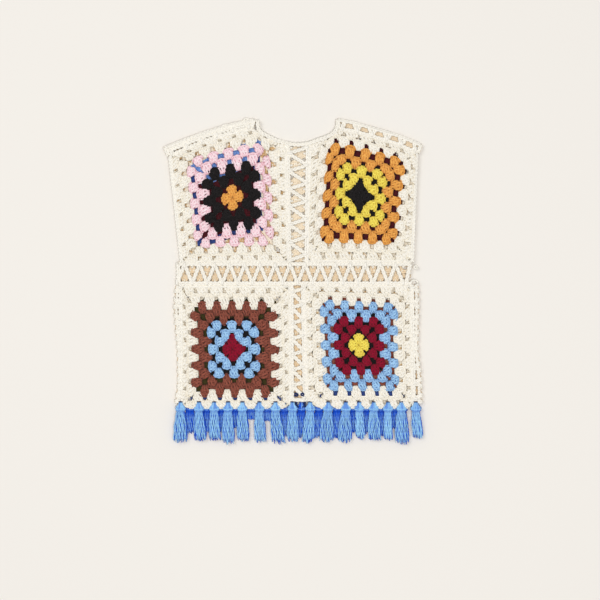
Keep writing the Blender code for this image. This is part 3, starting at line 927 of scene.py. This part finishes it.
def necklineRim():
    dice = random.Random("rim")
    shape = bmesh.new()
    for height, further in (rimPlan["front"], rimPlan["back"]):
        line = np.array(rimPlan["line"])
        line[1:-1, 1] += further
        points = alongLine(line, np.linspace(0, 1, rimPlan["points"]))
        for _ in range(3):  # takes the corners off
            points[1:-1] = (points[:-2] + points[1:-1] * 2 + points[2:]) / 4
        path = [(Vector((*point, height)) + shift, Vector((0, 0, 1))) for point in points]
        chainStitch(shape, path, dice, thick=rimPlan["thick"])
    addPiece("neckline_rim", shape, pressed, [yarns["cream"]])


necklineRim()

looseLoops = {
    # slack loops of the joining yarn: middle, height and radius in mm, yarn and its radius
    "shoulder_loop_outer": ((-90.4, 182.6), 4.6, 3.0, "cream", 1.3),
    "shoulder_loop_inner": ((-63.8, 190.4), 4.6, 3.0, "cream", 1.3),
    "waist_loop_right": ((145.6, -12.4), 5.6, 4.5, "cream", 1.25),
    "waist_tail_right": ((147.4, 7.6), 5.4, 2.0, "cream", 1.3),
    # the navy loops stand where the hem shows dark: painted shade, in the place of tassel yarn seen
    # in shadow
    "hem_loop_left": ((-1.7, -151.4), 5.6, 1.9, "navy", 1.3),
    "hem_loop_right": ((6.2, -151.0), 7.0, 1.6, "navy", 1.2),
    "hem_loop_middle": ((3.9, -163.0), 2.7, 5.4, "navy", 1.7),
}
loopForm = {"steps": 14, "length": 0.85, "buckle": 0.12}  # the last two are shares of the radius
# the navy loops' deep value is painted shade
loopShade = {"cream": 0.05, "navy": 0.8}


def looseLoop(name, middle, height, radius, yarn, thick):
    shape = bmesh.new()
    steps, length, buckle = loopForm.values()
    points = []
    for step in range(steps + 1):
        angle = 2 * math.pi * step / steps
        out = Vector((math.cos(angle), length * math.sin(angle), buckle * math.cos(2 * angle)))
        points.append(Vector((*middle, height)) + shift + out * radius)
    strand(shape, points, [thick] * len(points), shade=loopShade[yarn])
    addPiece(name, shape, pressed, [yarns[yarn]])


for name, plan in looseLoops.items():
    looseLoop(name, *plan)
print("bands chained")


# tassels

tasselHeights = {  # middle and half thickness at the head, and the same at the ends of the skirt
    "front": (6.4, 1.7, 5.3, 1.3),
    "back": (2.0, 0.95, 1.8, 0.75),
}
tasselShade = {"front": 0.0, "back": 0.45}  # the back's hang in the shade of the front's
tasselPlan = {
    # middle, width of the skirt's end, how far that end leans to the right, length, all in mm
    "front": [
        (-145.6, 18, -0.5, 39), (-122.8, 16, 2, 36.5), (-103.8, 15, 1, 37), (-86.5, 15.5, 0.5, 41),
        (-68.6, 15.5, 1, 37.5), (-47.4, 15, 1.2, 39), (-27.4, 17.5, 4, 40.5), (-6.2, 15.5, 1, 38.5),
        (15.8, 16, -2.5, 39.5), (38.1, 17.5, -2, 38.5), (60.4, 18.5, -1.5, 39.5),
        (77.1, 12.5, 1.5, 35), (95, 17, 1.5, 37), (112.9, 11, 0.5, 36.5), (129.6, 18, 1, 41),
        (147.4, 13.5, 3, 34),
    ],
    "back": [
        (-134.4, 14, 0.5, 28), (-113.2, 13.5, -0.5, 27), (-95.2, 13, 1, 25), (-77.6, 13.5, -1, 21),
        (-57.8, 14, 0.5, 10.5), (-37.2, 14, 0, 12.5), (-16.5, 14, 1, 31), (4.8, 14, -0.5, 33),
        (26.8, 14, 0.5, 34), (49.1, 14, -0.5, 33), (68.8, 13, 0.5, 28), (86, 13, 0, 28),
        (104, 13, 0.5, 31), (121.2, 12.5, -0.5, 22), (131.5, 12, 0.5, 30), (148.4, 9, 2, 27),
    ],
}


head = {
    "top": -161.6,  # mm from the waist, where a tassel is looped through the hem
    # mm below that and half width, from the neck to the binding, and radii of the strands there
    "rows": [
        (0.6, 2.5), (-1.6, 3.0), (-3.4, 3.9), (-5.0, 5.1), (-6.6, 5.9), (-8.4, 5.9), (-10.2, 4.9),
    ],
    "radii": [0.9, 1.0, 1.1, 1.2, 1.25, 1.15, 0.9],
    "strands": 13, "inset": 0.9,  # mm from the side of the head to the middle of a strand
    "strays": 0.2,  # most that one is off its even place, as a share of the step to the next
    # it is this share as deep, and this share more with its width, up to a half width in mm
    "depths": (0.45, 0.55, 4.3),
    "shades": (0.1, 0.3, 0.6),
}


def tasselHead(shape, dice, middle, height, depth, base):
    least, more, deepest = head["depths"]
    for number in range(head["strands"]):
        place = number + dice.uniform(-head["strays"], head["strays"])
        angle = 2 * math.pi * place / head["strands"]
        points = []
        for down, half in head["rows"]:
            deep = depth * (least + more * min(1.0, half / deepest))
            x = middle + (half - head["inset"]) * math.cos(angle)
            points.append(Vector((x, head["top"] + down, height + deep * math.sin(angle))) + shift)
        strand(shape, points, head["radii"], shade=base + dice.choice(head["shades"]))


binding = {
    # mm below the top, half width, radius and shade of the strands that bind a head
    "wraps": [(-6.0, 5.5, 0.8, 0.25), (-7.7, 6.0, 0.95, 0.05), (-9.5, 5.6, 0.85, 0.45)],
    "steps": 12,
    "tilts": 0.12,  # most slope from side to side
    "bow": 1.6,  # mm that it is lower in the middle than at the sides
    "over": 0.35,  # mm that it lies over the head
    "uneven": 0.2,  # most that one of them is deeper in colour
}


def tasselBinding(shape, dice, middle, height, depth, base):
    steps, bow = binding["steps"], binding["bow"]
    for down, half, thick, tint in binding["wraps"]:
        tilt = dice.uniform(-binding["tilts"], binding["tilts"])
        points = []
        for step in range(steps + 1):
            angle = 2 * math.pi * step / steps - math.pi / 2
            x = half * math.cos(angle)
            y = head["top"] + down + x * tilt + bow * math.cos(angle) ** 2 - bow / 2
            z = height + (depth + binding["over"]) * math.sin(angle)
            points.append(Vector((middle + x, y, z)) + shift)
        shade = base + tint + dice.uniform(0.0, binding["uneven"])
        strand(shape, points, [thick] * len(points), shade=shade)


skirt = {
    "strands": 27, "rings": 11,
    "places": (0.1, 0.9),  # where one starts, in its share of the width
    # its three layers: height as a share of its depth, strand radius, shade and spread of shade
    # the middle layer is drawn nearly in the deep colour: painted shade between the strands above
    # and below it
    "layers": [(0.85, 0.60, 0.0, 0.15), (0.25, 0.74, 0.95, 0.1), (-0.85, 0.70, 0.6, 0.4)],
    "meeting": 0.7,  # how far the layers come together at the sides
    "start": 1.6,  # mm that the strands start above the lower end of the head
    "tucked": 2.0,  # mm of them that don't count towards the length
    "lengths": (0.88, 1.03), "sides": 0.05,  # shares of the length, and how much less at the sides
    "neck": 4.4,  # half width in mm under the binding
    "opening": (1.25, 0.9),  # how soon it has its full width, and how quickly it leaves the neck
    "width": 0.94,  # share of the width between the middles of the outer strands
    "leaning": 1.3,  # above 1, its lean comes in towards the end
    "wave": 0.4, "waves": (0.5, 1.5),  # mm that strands stray to the side, and shares of that
    "waveLengths": (12.0, 20.0),  # mm
    "waveStart": 5,  # the waves have their full size from this part of the length on
    "lift": 0.3,  # mm that strands stray up and down
    "radii": (0.85, 1.15), "tip": 0.6,  # shares of a strand's radius
    "hemShade": {"front": 0.25, "back": 0.6},  # how much deeper it looks under the hem
    "hemReach": 2.5,  # that ends after this part of the length
}


def tasselSkirt(shape, dice, face, row, base):
    middle, spread, lean, length = row
    headHeight, headDepth, endHeight, endDepth = tasselHeights[face]
    root = head["top"] + head["rows"][-1][0] + skirt["start"]
    count, rings, neck = skirt["strands"], skirt["rings"], skirt["neck"]
    soon, quickly = skirt["opening"]
    for number in range(count):
        across = ((number + dice.uniform(*skirt["places"])) / count - 0.5) * 2
        layer, thin, tint, tintSpread = skirt["layers"][number % 3]
        layer *= math.sqrt(1 - skirt["meeting"] * across * across)
        reach = length * dice.uniform(*skirt["lengths"]) * (1 - skirt["sides"] * across * across)
        turns = dice.uniform(0, 2 * math.pi)
        waves = length / dice.uniform(*skirt["waveLengths"])
        stray = skirt["wave"] * dice.uniform(*skirt["waves"])
        points = []
        for ring in range(rings):
            share = ring / (rings - 1)
            opened = math.sin(math.pi / 2 * min(1.0, share * soon)) ** quickly
            widen = neck + (spread / 2 - neck) * opened
            phase = turns + 2 * math.pi * waves * share
            swing = math.sin(phase) * stray * min(1.0, share * skirt["waveStart"])
            x = middle + across * widen * skirt["width"] + lean * share ** skirt["leaning"] + swing
            height = headHeight + (endHeight - headHeight) * share
            deep = headDepth + (endDepth - headDepth) * share
            z = height + layer * deep + skirt["lift"] * math.cos(phase)
            points.append(Vector((x, root - (reach + skirt["tucked"]) * share, z)) + shift)
        thin *= dice.uniform(*skirt["radii"])
        dim = base + tint + tintSpread * dice.uniform(0.0, 1.0)
        shades = [
            dim + skirt["hemShade"][face] * max(0.0, 1 - skirt["hemReach"] * ring / rings)
            for ring in range(rings)
        ]
        strand(shape, points, [thin] * (rings - 1) + [thin * skirt["tip"]], shade=shades)


# where the hem is dark above a neck, a navy strand is laid: painted shade that stands for the
# tassel's loop through the hem in shadow.
# mm over the top, half width, height over the head's middle, radius in the middle and at the ends,
# and shade
hemLoop = {"above": 1.3, "half": 2.6, "over": 0.5, "radii": [0.7, 1.0, 0.7], "shade": 0.8}


def tasselLoop(shape, middle, height):
    known = len(shape.faces)
    y, z = head["top"] + hemLoop["above"], height + hemLoop["over"]
    points = [Vector((middle + side * hemLoop["half"], y, z)) + shift for side in (-1, 0, 1)]
    strand(shape, points, hemLoop["radii"], shade=hemLoop["shade"])
    for part in list(shape.faces)[known:]:
        part.material_index = 1


def tasselPiece(name, face, row, seed):
    dice = random.Random(seed)
    middle, base = row[0], tasselShade[face]
    height, depth = tasselHeights[face][:2]
    shape = bmesh.new()
    tasselHead(shape, dice, middle, height, depth, base)
    tasselBinding(shape, dice, middle, height, depth, base)
    tasselSkirt(shape, dice, face, row, base)
    if face == "front":
        tasselLoop(shape, middle, height)
    return addPiece(name, shape, pressed, [yarns["tassel"], yarns["navy"]])


for face, rows in tasselPlan.items():
    for number, row in enumerate(rows, 1):
        node = f"{face}_tassel_{number:02d}"
        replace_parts(tasselPiece(node + "_strands", face, row, node), node)
print("tassels knotted")


# floor, light and camera

studio = {
    "floorSize": 30.0, "floorColour": "efebe5",  # wide, so that its edge stays out of low views
    "lamps": {  # size in metres, power in watts and place
        "window light": (1.8, 37.0, (-1.6, 1.2, 3.2)),
        "softbox overhead": (1.1, 48.0, (0.5, -0.5, 3.4)),
    },
    "sky": 0.46, "skyColour": (1.0, 0.99, 0.97, 1.0),  # strength, and a linear colour
    "focal": 100.0, "sensor": 36.0,  # mm
    "frameWidth": 0.75, "frameCentre": (0.0048, -0.0207),  # metres on the floor
}


def layFloor():
    bpy.ops.mesh.primitive_plane_add(size=studio["floorSize"], location=(0, 0, 0))
    board = bpy.context.object
    board.name = "studio_board"
    material = bpy.data.materials.new("matt painted board")
    material.use_nodes = True
    shader = material.node_tree.nodes["Principled BSDF"]
    shader.inputs["Base Color"].default_value = linearColour(studio["floorColour"])
    shader.inputs["Roughness"].default_value = 0.9
    board.data.materials.append(material)


def lightStudio():
    world = bpy.context.scene.world or bpy.data.worlds.new("studio")
    bpy.context.scene.world = world
    world.use_nodes = True
    background = world.node_tree.nodes["Background"]
    background.inputs["Color"].default_value = studio["skyColour"]
    background.inputs["Strength"].default_value = studio["sky"]
    for name, (size, power, place) in studio["lamps"].items():
        lamp = bpy.data.lights.new(name, "AREA")
        lamp.shape, lamp.size, lamp.energy = "SQUARE", size, power
        holder = bpy.data.objects.new(name, lamp)
        holder.location = place
        holder.rotation_euler = (-Vector(place)).to_track_quat("-Z", "Y").to_euler()
        bpy.context.scene.collection.objects.link(holder)
    bpy.context.scene.view_settings.view_transform = "Standard"


def setCamera():
    lens = bpy.data.cameras.new("camera")
    lens.lens, lens.sensor_width = studio["focal"], studio["sensor"]
    holder = bpy.data.objects.new("camera", lens)
    height = studio["frameWidth"] * studio["focal"] / lens.sensor_width
    holder.location = (*studio["frameCentre"], height)
    bpy.context.scene.collection.objects.link(holder)
    bpy.context.scene.camera = holder


layFloor()
lightStudio()
setCamera()
print("floor, light and camera set")
